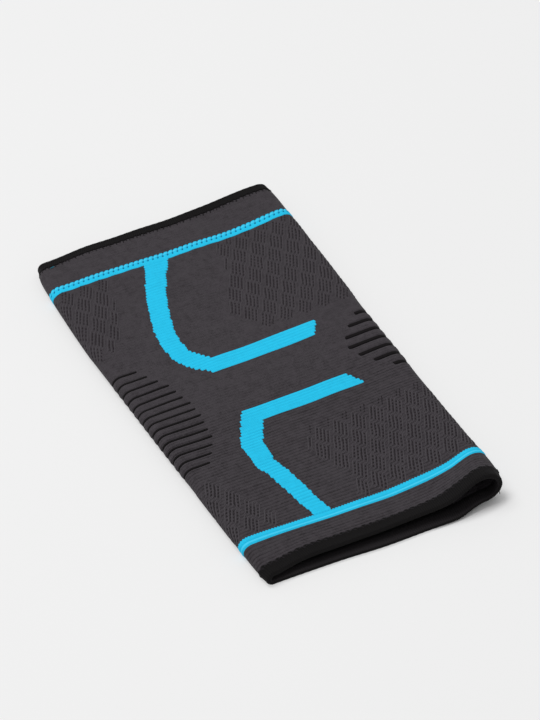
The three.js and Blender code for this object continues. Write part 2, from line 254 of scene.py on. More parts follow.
def smooth_at(knots, values, at):
    """A cubic curve through the knots, level at both ends. Each point may have knots and values of its own."""
    at = np.asarray(at, float)
    knots = np.array([np.broadcast_to(np.asarray(k, float), at.shape) for k in knots])
    values = np.array([np.broadcast_to(np.asarray(v, float), at.shape) for v in values])
    slopes = np.zeros_like(values)
    slopes[1:-1] = (values[2:] - values[:-2]) / (knots[2:] - knots[:-2])
    at = np.clip(at, knots[0], knots[-1])
    i = (knots[1:-1] < at).sum(0)[None]
    k0, k1 = np.take_along_axis(knots, i, 0)[0], np.take_along_axis(knots, i + 1, 0)[0]
    v0, v1 = np.take_along_axis(values, i, 0)[0], np.take_along_axis(values, i + 1, 0)[0]
    s0, s1 = np.take_along_axis(slopes, i, 0)[0], np.take_along_axis(slopes, i + 1, 0)[0]
    span = k1 - k0
    t = (at - k0) / span
    return (
        (1 + 2 * t) * (1 - t) ** 2 * v0
        + t * (1 - t) ** 2 * span * s0
        + t * t * (3 - 2 * t) * v1
        + t * t * (t - 1) * span * s1
    )


def smoothstep(at, low, high):
    t = np.clip((np.asarray(at, float) - low) / (high - low), 0, 1)
    return t * t * (3 - 2 * t)


def profile_at(name, y):
    return smooth_at(ALONGS, PROFILE[name], np.asarray(y, float) / HALF_LENGTH)


def look_up(table, row, column):
    """A table's values between its rows and columns."""
    row = np.clip(row, 0, table.shape[0] - 1.001)
    column = np.clip(column, 0, table.shape[1] - 1.001)
    i, j = row.astype(int), column.astype(int)
    a, b = row - i, column - j
    near = table[i, j] * (1 - b) + table[i, j + 1] * b
    far = table[i + 1, j] * (1 - b) + table[i + 1, j + 1] * b
    return near * (1 - a) + far * a


shift_s = np.linspace(0, 4, SHIFT_STEPS + 1)
shift_y = np.linspace(-HALF_LENGTH, HALF_LENGTH, SHIFT_STEPS + 1)
shift_round = np.array([smooth_at(SHIFT_ROUND, values, shift_s) for values in CLOTH_SHIFT.values()])
SHIFT_MAP = np.array([np.interp(shift_y, list(CLOTH_SHIFT), column) for column in shift_round.T]).T


SWELLS = ((0.16, 47, 61, 1.3), (0.13, 31, -83, 0.4), (0.09, 97, 29, 2.1))


def unevenness(x, y):
    """How the cloth's top rises and falls by a little as it lies: each swell has a height, the lengths of its
    waves across and along the sleeve, and a start."""
    return sum(
        height * np.sin(2 * np.pi * (x / across + y / along) + start)
        for height, across, along, start in SWELLS
    )


def skin(s, y, out):
    """Points on the sleeve's outside, out from it by some millimetres: s goes 0 to 1 along the table from the
    left, 1 to 2 up the right fold, 2 to 3 back over the top and 3 to 4 down the left fold."""
    s, y, out = np.broadcast_arrays(*(np.asarray(value, float) for value in (s, y, out)))
    part, t = np.floor(s).astype(int) % 4, s % 1
    reach_left = profile_at("reach_left", y) * REST_HEIGHT
    reach_right = profile_at("reach_right", y) * REST_HEIGHT
    start = profile_at("left", y) * HALF_WIDTH + reach_left
    end = profile_at("right", y) * HALF_WIDTH - reach_right
    lift = profile_at("lift", y) * REST_HEIGHT
    on_top = np.where(part == 2, end + (start - end) * t, np.where(part == 1, end, start))
    fades = [smoothstep(t, 0.3, 0.9), 1.0, smoothstep(t, 0.7, 0.1)]
    out = out + unevenness(on_top, y) * np.select([part == 1, part == 2, part == 3], fades, 0.0)
    knots = [start] + [across * HALF_WIDTH for _, across in TOP_KNOTS] + [end]
    names = ["crest_left"] + [name for name, _ in TOP_KNOTS] + ["crest_right"]
    heights = [profile_at(name, y) * REST_HEIGHT for name in names]
    angle = np.where(part == 1, -0.5 + t, 0.5 + t) * np.pi
    side = np.where(part == 1, reach_right, reach_left) + out
    fold_x = np.where(part == 1, end, start) + side * np.cos(angle)
    low = KNIT_OFF_TABLE - out + np.where(part == 1, lift, 0)
    high = np.where(part == 1, heights[-1], heights[0]) + out
    fold_z = (low + high) / 2 + (high - low) / 2 * np.sin(angle)
    under_x = start + (end - start) * t
    under_z = KNIT_OFF_TABLE - out + lift * smoothstep(under_x, LIFT_STARTS * HALF_WIDTH, end)
    top_z = smooth_at(knots, heights, on_top) + out
    x = np.select([part == 0, part == 2], [under_x, on_top], fold_x)
    z = np.select([part == 0, part == 2], [under_z, top_z], fold_z)
    row = (y + HALF_LENGTH) / (2 * HALF_LENGTH) * SHIFT_STEPS
    y = y + look_up(SHIFT_MAP, row, s % 4 / 4 * SHIFT_STEPS)
    return np.stack([x, y, z], -1) * MM


# The cloth's own measure: u in millimetres across it, 0 on the middle of the top, more to the right.
MAP_ROWS, MAP_COLUMNS, MAP_FINE = 161, 601, 400
MAP_Y = np.linspace(-HALF_LENGTH, HALF_LENGTH, MAP_ROWS)
MAP_W = np.linspace(0, 1, MAP_COLUMNS)
ring_s = np.linspace(0, 4, 4 * MAP_FINE + 1)
ring_points = skin(ring_s[None, :], MAP_Y[:, None], np.zeros(1)) / MM
ring_steps = np.linalg.norm(np.diff(ring_points, axis=1), axis=-1)
ring_run = np.concatenate([np.zeros((MAP_ROWS, 1)), np.cumsum(ring_steps, 1)], 1)
RING_LENGTH = ring_run[:, -1]
top_x = ring_points[:, 2 * MAP_FINE:3 * MAP_FINE + 1, 0]
top_middle = np.argmin(np.abs(top_x), 1) + 2 * MAP_FINE
RUN_TO_MIDDLE = ring_run[np.arange(len(MAP_Y)), top_middle]
MAP_S = np.array([np.interp(MAP_W, run / run[-1], ring_s) for run in ring_run])


def share_round(u, y):
    """How far round the tube a place is, from 0 to 1, starting under its left fold."""
    return (np.interp(y, MAP_Y, RUN_TO_MIDDLE) - u) / np.interp(y, MAP_Y, RING_LENGTH)


def s_round(w, y):
    """The s of places by their share of the way round."""
    row = (y - MAP_Y[0]) / (MAP_Y[1] - MAP_Y[0])
    return look_up(MAP_S, row, np.clip(w, 0, 1) * (len(MAP_W) - 1))


def on_cloth(u, y, out):
    """Points on the cloth, out from it by some millimetres."""
    u, y, out = np.broadcast_arrays(*(np.asarray(value, float) for value in (u, y, out)))
    return skin(s_round(share_round(u, y), y), y, out)


# Courses: rows of stitches. Their pitch is tighter at the knee than at the calf.
COURSE_PITCH = ((-132.5, 2.14), (-75.0, 2.12), (-52.0, 1.867), (34.0, 1.867), (60.0, 1.84), (132.5, 1.84))
COURSE_DEPTH = ((-132.5, 0.05), (-110.0, 0.07), (-60.0, 0.07), (0.0, 0.035), (60.0, 0.02), (132.5, 0.03))
COURSE_PLACES = 5301
FINE_RIBS_MIDDLE = -9.0
course_y = np.linspace(-HALF_LENGTH, HALF_LENGTH, COURSE_PLACES)
course_count = np.concatenate([[0.0], np.cumsum(
    np.diff(course_y) / np.interp((course_y[1:] + course_y[:-1]) / 2, *zip(*COURSE_PITCH))
)])
course_count -= np.interp(FINE_RIBS_MIDDLE, course_y, course_count)


def courses_at(y):
    return np.interp(y, course_y, course_count)


def y_of_course(count):
    return np.interp(count, course_count, course_y)


def inside(outline, x, y):
    """Whether places lie inside a closed outline."""
    found = np.zeros(np.broadcast(x, y).shape, bool)
    for (x0, y0), (x1, y1) in zip(outline, outline[1:] + outline[:1]):
        crosses = (y0 > y) != (y1 > y)
        at = (x1 - x0) * (y - y0) / (y1 - y0 if y1 != y0 else 1) + x0
        found ^= crosses & (x < at)
    return found


def new_cloth_mesh():
    """An empty mesh whose faces can hold their place in the cloth, and how far they stand out of it."""
    mesh = bmesh.new()
    mesh.loops.layers.uv.new("cloth")
    mesh.verts.layers.float.new("rise")
    return mesh


def lay_grid(mesh, points, u, courses, rise=0.0, material=0):
    """Lays a grid of faces over points[row, column], each with its place in the cloth, u and course count.
    The material is one number, or one for each column."""
    rows, columns = points.shape[:2]
    made = bmesh.ops.create_grid(mesh, x_segments=columns - 1, y_segments=rows - 1, size=1)["verts"]
    shape = (rows, columns)
    cloth = np.stack([np.broadcast_to(u, shape), np.broadcast_to(courses, shape)], -1).reshape(-1, 2).tolist()
    rises = np.broadcast_to(rise, shape).reshape(-1).tolist()
    uv, height = mesh.loops.layers.uv["cloth"], mesh.verts.layers.float["rise"]
    place = {}
    for i, (vert, point) in enumerate(zip(made, points.reshape(-1, 3).tolist())):
        vert.co = point
        vert[height] = rises[i]
        place[vert] = i
    of_column = np.broadcast_to(material, columns).tolist()
    for face in {face for vert in made for face in vert.link_faces}:
        face.smooth = True
        face.material_index = of_column[min(place[vert] % columns for vert in face.verts)]
        for loop in face.loops:
            loop[uv].uv = cloth[place[loop.vert]]


def make_piece(name, mesh, materials, nodes=()):
    """Welds the seams, turns the faces outwards and makes the piece's object, which rides on the sleeve."""
    bmesh.ops.remove_doubles(mesh, verts=mesh.verts, dist=WELD)
    bmesh.ops.recalc_face_normals(mesh, faces=mesh.faces)
    data = bpy.data.meshes.new(name)
    mesh.to_mesh(data)
    mesh.free()
    for material in materials:
        data.materials.append(material)
    piece = bpy.data.objects.new(name, data)
    scene.collection.objects.link(piece)
    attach(piece, "root")
    if nodes:
        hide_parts(*nodes)
    return piece


COURSES_FADE, FADED = (-16.0, 8.0), 0.7
FUZZ_SIZE, PATCH_SIZE = 0.0010, 0.0035
SUNK, RISEN = -0.25, 0.06
DEEPEST, LIGHTEST = -0.15, 1.25
STITCH_HEIGHT = 0.00025


def yarn_material(name, lit, deep, groove_shade, wale_shade, melange, sheen, bump):
    """Knitted yarn: rows of V stitches in the cloth's own measure, with painted shade: darker in the grooves
    between courses, between wales and on faces that sink below the cloth.
    """
    material, shader, nodes = new_material(name)
    across, courses = nodes.node("ShaderNodeUVMap", {"uv_map": "cloth"}).x_and_y()
    rise = nodes.node("ShaderNodeAttribute", {"attribute_name": "rise"}, (), "Fac")
    from_wale = abs(across.part() - 0.5) * 2
    groove = (1 - courses.wave()) ** 2
    leg = (courses * 2 + from_wale * 0.5).wave()
    along_row = nodes.node("ShaderNodeCombineXYZ", (), {"X": across * 0.05, "Y": courses * 0.9})
    streaks = nodes.node("ShaderNodeTexNoise", (), {"Vector": along_row, "Scale": 1.0, "Detail": 2.0})
    fuzz = nodes.noise(FUZZ_SIZE, 2.0, 0.7)
    patches = nodes.noise(PATCH_SIZE, 3.0)
    fainter = 1 - courses.between(*COURSES_FADE) * FADED
    # Painted shade: the colour darkens in the grooves between courses and at the sides of each wale.
    light = 1 - groove * groove_shade * fainter * (streaks * 2.4 - 0.2)
    light = light - from_wale ** 3 * wale_shade - (1 - leg) * (wale_shade * 0.6)
    light = light + (fuzz - 0.5) * melange + (patches - 0.5) * (melange * 0.7)
    # Painted shade: faces that sink below the cloth, such as the sides of strands, darken towards the deep
    # colour.
    light = light * rise.between(SUNK, RISEN)
    plug(shader, "Base Color", light.between(DEEPEST, LIGHTEST).colours(deep, lit))
    plug(shader, "Roughness", 0.96 - light * 0.12)
    height = leg * 0.5 + groove * fainter * -0.4 + from_wale ** 2 * -0.5 + fuzz * 0.6
    plug(shader, "Normal", nodes.node(
        "ShaderNodeBump", (), {"Strength": bump, "Distance": STITCH_HEIGHT, "Height": height}
    ))
    shader.inputs["Specular IOR Level"].default_value = 0.12
    shader.inputs["Sheen Weight"].default_value = sheen
    shader.inputs["Sheen Roughness"].default_value = 0.45
    return material


GREY_YARN = yarn_material(
    "grey_elastic_knit", srgb(65, 61, 65), srgb(31, 28, 30),
    groove_shade=0.36, wale_shade=0.16, melange=1.3, sheen=0.05, bump=0.6,
)

BAND_WIDTH = 10.6
THIGH_BAND = (
    (-0.140, 0.810), (-0.236, 0.682), (-0.301, 0.614), (-0.356, 0.539), (-0.399, 0.463), (-0.447, 0.377),
    (-0.461, 0.302), (-0.451, 0.234), (-0.394, 0.181), (-0.286, 0.124), (0.548, 0.124),
)
CALF_BAND = (
    (-0.307, -0.825), (-0.339, -0.737), (-0.367, -0.646), (-0.412, -0.510), (-0.437, -0.457),
    (-0.435, -0.344), (-0.395, -0.295), (-0.297, -0.202), (0.552, -0.202),
)
THIGH_LEG_EDGES = (
    (21.0, -0.2, -0.6), (23.0, -0.2, 0.1), (60.0, -0.2, 0.0), (74.0, -0.1, 0.5), (88.0, -0.2, 0.6),
    (103.0, -0.2, 2.1),
)
CALF_LEG_EDGES = (
    (-107.0, 0.8, -0.3), (-92.0, 0.3, -0.8), (-72.0, 0.4, -0.2), (-62.0, 0.1, 0.1), (-54.0, 0.3, 0.4),
    (-46.0, 0.0, 0.8), (-34.0, -0.1, 1.0), (-32.5, -0.1, -0.5),
)
BAND_SHIFT = -0.7
BAND_END_SLANT = 3.2
FINE_RIB_PITCH, FINE_RIB_WIDTH, FINE_RIB_REACH = 5.6, 1.3, 28.3
FINE_NEAR, FINE_FAR, FINE_NEAR_STEPS = 0.9, 3.25, 4
FINE_REACH_MORE = (-0.2, 0.9, 0.9, 0.7, 0.2, 0.1, 0.3, -1.0, 0.0, -0.7, -0.8, -1.1, -1.2, -1.2, -0.9)
FINE_SWING, FINE_SWING_SPAN = 0.7, 42.0
BOLD_RIB_PITCH, BOLD_RIB_WIDTH, BOLD_RIB_REACH = 7.3, 2.4, 21.5
BOLD_RIBS_MIDDLE = -6.3
BOLD_NEAR, BOLD_FAR, BOLD_NEAR_STEPS = 1.7, 6.6, 1
BOLD_REACH_MORE = (2.0, 2.9, 1.3, 1.8, 1.5, 2.5, 1.5)


def band_outline(line, half_width, slant_sign):
    """A band's outline from its middle line, with mitred bends and a slanted last end."""
    points = [np.array((across * HALF_WIDTH, along * HALF_LENGTH)) for across, along in line]
    runs = [(b - a) / np.linalg.norm(b - a) for a, b in zip(points, points[1:])]
    sides = ([], [])
    for i, point in enumerate(points):
        into, ahead = runs[max(i - 1, 0)], runs[min(i, len(runs) - 1)]
        both = into + ahead
        miter = np.array((-both[1], both[0])) / np.linalg.norm(both)
        stretch = half_width / (miter @ np.array((-ahead[1], ahead[0])))
        for side, found in zip((1, -1), sides):
            corner = point + miter * side * stretch
            if i == len(points) - 1:
                corner[0] += side * slant_sign * BAND_END_SLANT * half_width / (BAND_WIDTH / 2)
            found.append(tuple(corner))
    return sides[0] + sides[1][::-1]


def rib_lines(middle, pitch, reach, near, far, near_steps, reach_more, swing=0.0):
    """Each rib's place along the sleeve and its reach inwards from the fold's edge."""
    lines = []
    for i, more in enumerate(reach_more):
        step = i - (len(reach_more) - 1) / 2
        past = max(abs(step) - near_steps, 0)
        place = middle + step * pitch
        place = place - swing * math.sin(math.pi * (place - middle) / FINE_SWING_SPAN)
        lines.append((place, reach - (abs(step) - past) * near - past * far + more))
    return lines


FINE_LINES = rib_lines(
    FINE_RIBS_MIDDLE, FINE_RIB_PITCH, FINE_RIB_REACH, FINE_NEAR, FINE_FAR, FINE_NEAR_STEPS, FINE_REACH_MORE,
    FINE_SWING,
)
BOLD_LINES = rib_lines(
    BOLD_RIBS_MIDDLE, BOLD_RIB_PITCH, BOLD_RIB_REACH, BOLD_NEAR, BOLD_FAR, BOLD_NEAR_STEPS, BOLD_REACH_MORE
)
RIB_SWELL, RIB_SINK = 0.26, 0.45
SWELL_UNDER, SWELL_AT_FOLD, SWELL_PAST = (-12.0, -7.0), 3.0, 0.7


def rib_relief(u, y, side, lines, pitch, width):
    """The grey knit swells between the black ribs, most at the fold, and sinks under each of them."""
    edge = profile_at("left" if side < 0 else "right", y) * HALF_WIDTH
    inwards = (edge - u) * side
    places = [place for place, _ in lines]
    reach = np.interp(y, places, [reach for _, reach in lines])
    first, last, past = places[0], places[-1], pitch * SWELL_PAST
    zone = smoothstep(y, first - past, first) * smoothstep(y, last + past, last)
    under = smoothstep(inwards, *SWELL_UNDER)
    wave = 0.5 - 0.5 * np.cos(2 * np.pi * (y - first) / pitch)
    high = RIB_SWELL * smoothstep(inwards, reach + 2, SWELL_AT_FOLD) * wave
    from_rib = np.min([np.abs(y - place) for place in places], 0)
    cut = smoothstep(from_rib, width * 0.5 + 0.5, width * 0.5) * smoothstep(inwards, reach + 0.6, reach - 0.6)
    return zone * under * (high - RIB_SINK * cut)


COURSE_FORM = np.array([-1.3, 0.35, 0.8, 0.35])
UNDER_STRIPE, UNDER_BAND, UNDER_TAPE = 0.3, 0.25, 0.55
BAND_OVER_KNIT = 1.4
PUCKER = 4.0
THIGH_PUCKER, CALF_PUCKER = (0.20, 3.6), (0.13, 2.2)


def knit_relief(u, y, quarter):
    """How far the knit stands out from the plain form: its courses, ribs, cuffs and what it holds."""
    relief = np.interp(y, *zip(*COURSE_DEPTH)) * COURSE_FORM[quarter]
    relief = relief + rib_relief(u, y, -1, FINE_LINES, FINE_RIB_PITCH, FINE_RIB_WIDTH)
    relief = relief + rib_relief(u, y, 1, BOLD_LINES, BOLD_RIB_PITCH, BOLD_RIB_WIDTH)
    for low, high in (THIGH_STRIPE, CALF_STRIPE):
        held = smoothstep(y, low - 0.1, low + 0.5) * smoothstep(y, high + 0.1, high - 0.5)
        relief = relief - UNDER_STRIPE * held
    for line, sign in ((THIGH_BAND, 1), (CALF_BAND, -1)):
        held = inside(band_outline(line, BAND_WIDTH / 2 - BAND_OVER_KNIT, sign), u, y)
        relief = relief - UNDER_BAND * held
    to_thigh, to_calf = HALF_LENGTH - THIGH_BINDING_WIDTH - y, y + HALF_LENGTH - CALF_BINDING_WIDTH
    pucker = np.cos(2 * np.pi * u / PUCKER + 1.2 * np.sin(u / 9))
    for distance, (height, fade) in ((to_thigh, THIGH_PUCKER), (to_calf, CALF_PUCKER)):
        relief = relief + height * pucker * np.exp(-np.maximum(distance, 0) / fade) * (distance > -1)
        relief = relief - UNDER_TAPE * smoothstep(distance, 0.2, -0.8)
    return relief


FOLD_COLUMNS, TOP_COLUMNS, UNDER_COLUMNS = 15, 84, 34
INNER_ROWS = 36
KNIT_END = 1.2
PRESSED_IN_TAPE, PRESS_FADE = 0.45, 0.6
tube_s = np.concatenate([
    np.linspace(0, 1, UNDER_COLUMNS, endpoint=False),
    np.linspace(1, 2, FOLD_COLUMNS, endpoint=False),
    np.linspace(2, 3, TOP_COLUMNS, endpoint=False),
    np.linspace(3, 4, FOLD_COLUMNS + 1),
])
first, last = (math.ceil(courses_at(y) * 4) for y in (-HALF_LENGTH + KNIT_END, HALF_LENGTH - KNIT_END))
quarters = np.arange(first, last)
outer_y = y_of_course(quarters / 4)
outer_points = skin(tube_s[None, :], outer_y[:, None], np.zeros(1)) / MM
steps = np.linalg.norm(np.diff(outer_points[:, :, [0, 2]], axis=1), axis=-1)
run = np.concatenate([np.zeros((len(outer_y), 1)), np.cumsum(steps, 1)], 1)
outer_u = np.interp(outer_y, MAP_Y, RUN_TO_MIDDLE)[:, None] - run
outer_relief = knit_relief(outer_u, outer_y[:, None], (quarters % 4)[:, None])
outer_skin = skin(tube_s[None, :], outer_y[:, None], outer_relief)
inner_y = np.linspace(outer_y[-1], outer_y[0], INNER_ROWS)
thigh_tape_from, calf_tape_from = HALF_LENGTH - THIGH_BINDING_WIDTH, HALF_LENGTH - CALF_BINDING_WIDTH
in_binding = np.maximum(
    smoothstep(inner_y, thigh_tape_from - PRESS_FADE, thigh_tape_from),
    smoothstep(-inner_y, calf_tape_from - PRESS_FADE, calf_tape_from),
)
inner_out = -WALL + PRESSED_IN_TAPE * in_binding
inner_skin = skin(tube_s[None, :], inner_y[:, None], inner_out[:, None])
inner_u = np.broadcast_to(outer_u[:1], (INNER_ROWS, len(tube_s)))

tube_mesh = new_cloth_mesh()
lay_grid(
    tube_mesh,
    np.concatenate([outer_skin, inner_skin, outer_skin[:1]]),
    np.concatenate([outer_u, inner_u, outer_u[:1]]),
    np.concatenate([quarters / 4, courses_at(inner_y), quarters[:1] / 4])[:, None],
    1.0,
)
knitted_tube = make_piece("knitted_tube", tube_mesh, [GREY_YARN], ["knit_tube"])

# Eyelet panels: four fields of open work in the same grey yarn, two beside the thigh band and two beside the
# calf band, which run on over the folds. Slanting dashes of small holes, drawn as dark dots and strips in
# painted shadow, lie between raised, S-shaped cords whose yarn is painted lighter as a highlight.
PANELS = {
    "far_right": {
        "middle": (19.7, 32.4), "next": (11.0, 0.0), "up": (5.5, 8.85), "dot": (1.05, 2.15),
        "outline": [
            (24.5, 103), (20.4, 84), (15.4, 72), (10.6, 59), (6.2, 48), (6.4, 44), (9.8, 38), (15.2, 30),
            (17, 27.5), (84, 27.5), (84, 103),
        ],
    },
    "far_left": {
        "middle": (-59.8, 88.1), "next": (10.75, 0.0), "up": (5.37, 9.1), "dot": (1.05, 2.15),
        "outline": [
            (-40, 103), (-44.5, 84), (-48, 71), (-53, 61), (-58, 52), (-66, 45), (-88, 45), (-88, 103),
        ],
    },
    "near_right": {
        "middle": (3.7, -56.9), "next": (10.5, 0.2), "up": (5.0, -10.2), "dot": (1.0, 2.1),
        "outline": [
            (-4, -47.6), (-5.6, -57), (-5.3, -71), (-3.2, -75), (-0.8, -81), (0.8, -87), (1.8, -93),
            (2.2, -105), (84, -105), (84, -45.6), (54, -46.2),
        ],
    },
    "near_left": {
        "middle": (-58.3, -77.2), "next": (11.4, 0.0), "up": (5.7, 10.3), "dot": (1.0, 2.1),
        "outline": [
            (-88, -59), (-63.5, -59), (-60, -64), (-56, -71), (-54.5, -76), (-52, -83), (-49.5, -89),
            (-48, -94), (-45.4, -100), (-45.4, -105), (-88, -105),
        ],
    },
}
ROWS_EACH_WAY, PLACES_EACH_WAY = 12, 16
LEFT_REACH, RIGHT_REACH = (-86.0, 0.0), (-10.0, 82.0)
DASHES, DASH_STEP = 4, np.array((1.26, -1.5))
DOTS, DOT_STEPS, DOTS_AT_ONCE = 4, 6, 60
DOT_ACROSS, DOT_ALONG, DOT_OUT, DOT_LEAN = (0.0, 0.36, 0.42), (0.0, 0.70, 0.78), (0.085, 0.08, -0.3), 0.35
STROKE_HALF_WIDTH, STROKE_TOP, STROKE_END = 0.42, 0.03, 0.45
CORD_DEEP = -0.3
NEAR_RIDGE, FAR_RIDGE = (0.36, 0.26, 0.18), (0.34, 0.24, 0.16)
RIDGE_HALF_RUN, RIDGE_PLACES = 1.9, 6
RIDGE_BEND, RIDGE_TAIL = np.array((1.0, 0.55)), np.array((2.5, 0.8))
PAST_LOWEST, PAST_HIGHEST = 1.0, 0.5
HOLE_GRAIN = 0.0007


def lay_cord(mesh, u, y, half_width, low, high, sides=6, material=0):
    """Lays a rounded strand along a line in the cloth, closed to a point at both ends."""
    u, y = np.asarray(u, float), np.asarray(y, float)
    half_width, low, high = (np.broadcast_to(np.asarray(v, float), u.shape) for v in (half_width, low, high))
    du, dy = np.gradient(u), np.gradient(y)
    size = np.hypot(du, dy)
    angle = np.linspace(0, 2 * np.pi, sides + 1)
    sideways = half_width[:, None] * np.cos(angle)
    out = ((low + high) / 2)[:, None] + ((high - low) / 2)[:, None] * np.sin(angle)
    across_u = u[:, None] - sideways * (dy / size)[:, None]
    across_y = y[:, None] + sideways * (du / size)[:, None]
    for end in (0, -1):
        across_u[end], across_y[end], out[end] = u[end], y[end], (low[end] + high[end]) / 2
    points = on_cloth(across_u, across_y, out)
    lay_grid(mesh, points, across_u, courses_at(across_y), out, material)


def hole_material(name, deep, lit):
    """The shadow in an eyelet, with a little of the yarn behind it."""
    material, shader, nodes = new_material(name)
    plug(shader, "Base Color", nodes.noise(HOLE_GRAIN, 1.0).colours(deep, lit))
    shader.inputs["Roughness"].default_value = 1.0
    shader.inputs["Specular IOR Level"].default_value = 0.05
    return material


DARK_HOLE = hole_material("eyelet_shadow", srgb(36, 33, 35), srgb(45, 42, 44))
SOFT_HOLE = hole_material("eyelet_half_shadow", srgb(39, 35, 38), srgb(47, 43, 46))
# Painted highlight: the raised cords are the knit's own grey yarn, coloured lighter where they catch the
# light, and a little less so in the far panels.
RIDGE_LOOK = {"groove_shade": 0.0, "wale_shade": 0.05, "melange": 0.6, "sheen": 0.05, "bump": 0.3}
HIGHLIT_RIDGE_YARN = yarn_material("grey_elastic_ridge_painted_highlight", srgb(72, 68, 72), srgb(42, 39, 42), **RIDGE_LOOK)
FAINT_HIGHLIT_RIDGE_YARN = yarn_material("grey_elastic_ridge_fainter_painted_highlight", srgb(70, 66, 70), srgb(40, 37, 40), **RIDGE_LOOK)
DARK, SOFT, RIDGE, FAINT_RIDGE = range(4)


def pour(small_mesh, mesh):
    """Moves a small mesh's faces into a large mesh: quicker than laying each of them straight into it."""
    data = bpy.data.meshes.new("poured")
    small_mesh.to_mesh(data)
    small_mesh.free()
    mesh.from_mesh(data)
    bpy.data.meshes.remove(data)


panel_mesh = new_cloth_mesh()
dots = {True: [], False: []}
for name, panel in PANELS.items():
    near, outline = "near" in name, panel["outline"]
    lowest, highest = min(y for _, y in outline), max(y for _, y in outline)
    from_u, to_u = LEFT_REACH if "left" in name else RIGHT_REACH
    middle, along_row, up, dot = (np.array(panel[key]) for key in ("middle", "next", "up", "dot"))
    ridge_width, ridge_high, ridge_ends = NEAR_RIDGE if near else FAR_RIDGE
    ridge_tops = [ridge_ends] * 2 + [ridge_high] * RIDGE_PLACES + [ridge_ends] * 2
    ridge_material = RIDGE if near else FAINT_RIDGE
    for row in range(-ROWS_EACH_WAY, ROWS_EACH_WAY + 1):
        row_mesh = new_cloth_mesh()
        for place in range(-PLACES_EACH_WAY, PLACES_EACH_WAY + 1):
            centre = middle + place * along_row + row * up
            if not from_u < centre[0] < to_u:
                continue
            dashes = [centre + (k - (DASHES - 1) / 2) * DASH_STEP for k in range(DASHES)]
            there = [bool(inside(outline, *dash)) for dash in dashes]
            # Painted shadow: each dash's holes are dark dots on a dark strip, which stand for the shade inside
            # the holes.
            for dash in (dash for dash, is_there in zip(dashes, there) if is_there):
                held = [dash + (m - (DOTS - 1) / 2) * dot for m in range(DOTS)]
                held = [at for at in held if inside(outline, *at)]
                dots[near] += held
                if len(held) > 1:
                    stroke = np.array([held[0] - STROKE_END * dot, *held, held[-1] + STROKE_END * dot])
                    lay_cord(row_mesh, *stroke.T, STROKE_HALF_WIDTH, CORD_DEEP, STROKE_TOP, material=SOFT)
            for k in range(DASHES + 1):
                if not (there[min(k, DASHES - 1)] or there[max(k - 1, 0)]):
                    continue
                base = centre + (k - DASHES / 2) * DASH_STEP
                slope = [base + m * dot for m in np.linspace(-RIDGE_HALF_RUN, RIDGE_HALF_RUN, RIDGE_PLACES)]
                tail = [slope[0] - RIDGE_TAIL, slope[0] - RIDGE_BEND]
                head = [slope[-1] + RIDGE_BEND, slope[-1] + RIDGE_TAIL]
                path = np.array([*tail, *slope, *head]).T
                if path[1].min() > lowest - PAST_LOWEST and path[1].max() < highest + PAST_HIGHEST:
                    lay_cord(row_mesh, *path, ridge_width, CORD_DEEP, ridge_tops, material=ridge_material)
        pour(row_mesh, panel_mesh)
dot_angle = np.linspace(0, 2 * np.pi, DOT_STEPS + 1)
dot_across = np.array(DOT_ACROSS)[:, None] * np.cos(dot_angle)
dot_along = np.array(DOT_ALONG)[:, None] * np.sin(dot_angle)
dot_out = np.array(DOT_OUT)[:, None] + 0 * dot_across
for near, places in dots.items():
    places = np.array(places)[:, :, None, None]
    dot_u = places[:, 0] + dot_across + DOT_LEAN * dot_along
    dot_y = places[:, 1] + dot_along
    dot_points = on_cloth(dot_u, dot_y, dot_out)
    for first_dot in range(0, len(places), DOTS_AT_ONCE):
        few_mesh = new_cloth_mesh()
        few = slice(first_dot, first_dot + DOTS_AT_ONCE)
        for points, u, y in zip(dot_points[few], dot_u[few], dot_y[few]):
            lay_grid(few_mesh, points, u, courses_at(y), 0.0, DARK if near else SOFT)
        pour(few_mesh, panel_mesh)
eyelet_panels = make_piece(
    "eyelet_panels", panel_mesh, [DARK_HOLE, SOFT_HOLE, HIGHLIT_RIDGE_YARN, FAINT_HIGHLIT_RIDGE_YARN]
)

# Cuff stripes: two rings of bright blue yarn, knitted in and standing a little proud. The thigh one is half
# smooth, half laid over in slanting lobes like a twisted cord; the calf one has small teeth and a fine raised
# line.
# A band on each is painted paler as a highlight: along the thigh one's lobes and on the calf one's fine line.
BLUE_YARN = yarn_material(
    "blue_yarn_knit", srgb(40, 201, 242), srgb(0, 108, 146),
    groove_shade=0.12, wale_shade=0.12, melange=0.34, sheen=0.0, bump=0.35,
)
# Painted highlight: the same blue yarn, coloured paler where raised parts catch the light.
HIGHLIT_BLUE_YARN = yarn_material(
    "blue_yarn_knit_painted_highlight", srgb(72, 207, 243), srgb(20, 140, 180),
    groove_shade=0.0, wale_shade=0.05, melange=0.14, sheen=0.0, bump=0.3,
)
STRIPE_ACROSS = np.array(
    [0.0, 0.03, 0.09, 0.16, 0.22, 0.28, 0.34, 0.40, 0.47, 0.53, 0.60, 0.68, 0.76, 0.84, 0.91, 0.96, 1.0]
)
RING_STEPS = 1100
STRIPE_LOW, STRIPE_RISE, STRIPE_DEEP = 0.02, 0.26, -0.5
GROOVE_DEPTH, GROOVE_WIDTH = 0.20, 0.05
LOBE_PITCH, LOBE_LEAN, LOBE_GAP, LOBE_DEPTH = 2.9, 0.9, 0.17, 0.62
LOBES_BEGIN, LOBES_SHALLOW, SHALLOWER = (0.40, 0.54), (0.60, 0.85), 0.35
TOOTH_PITCH, TOOTH_SIZE, TOOTH_FADE = 1.6, 0.28, 0.08
LINE_HEIGHT, LINE_WIDTH = 0.10, 0.09
CALF_HIGHLIT_PART, THIGH_HIGHLIT_PART = (0.20, 0.36), (0.62, 0.80)


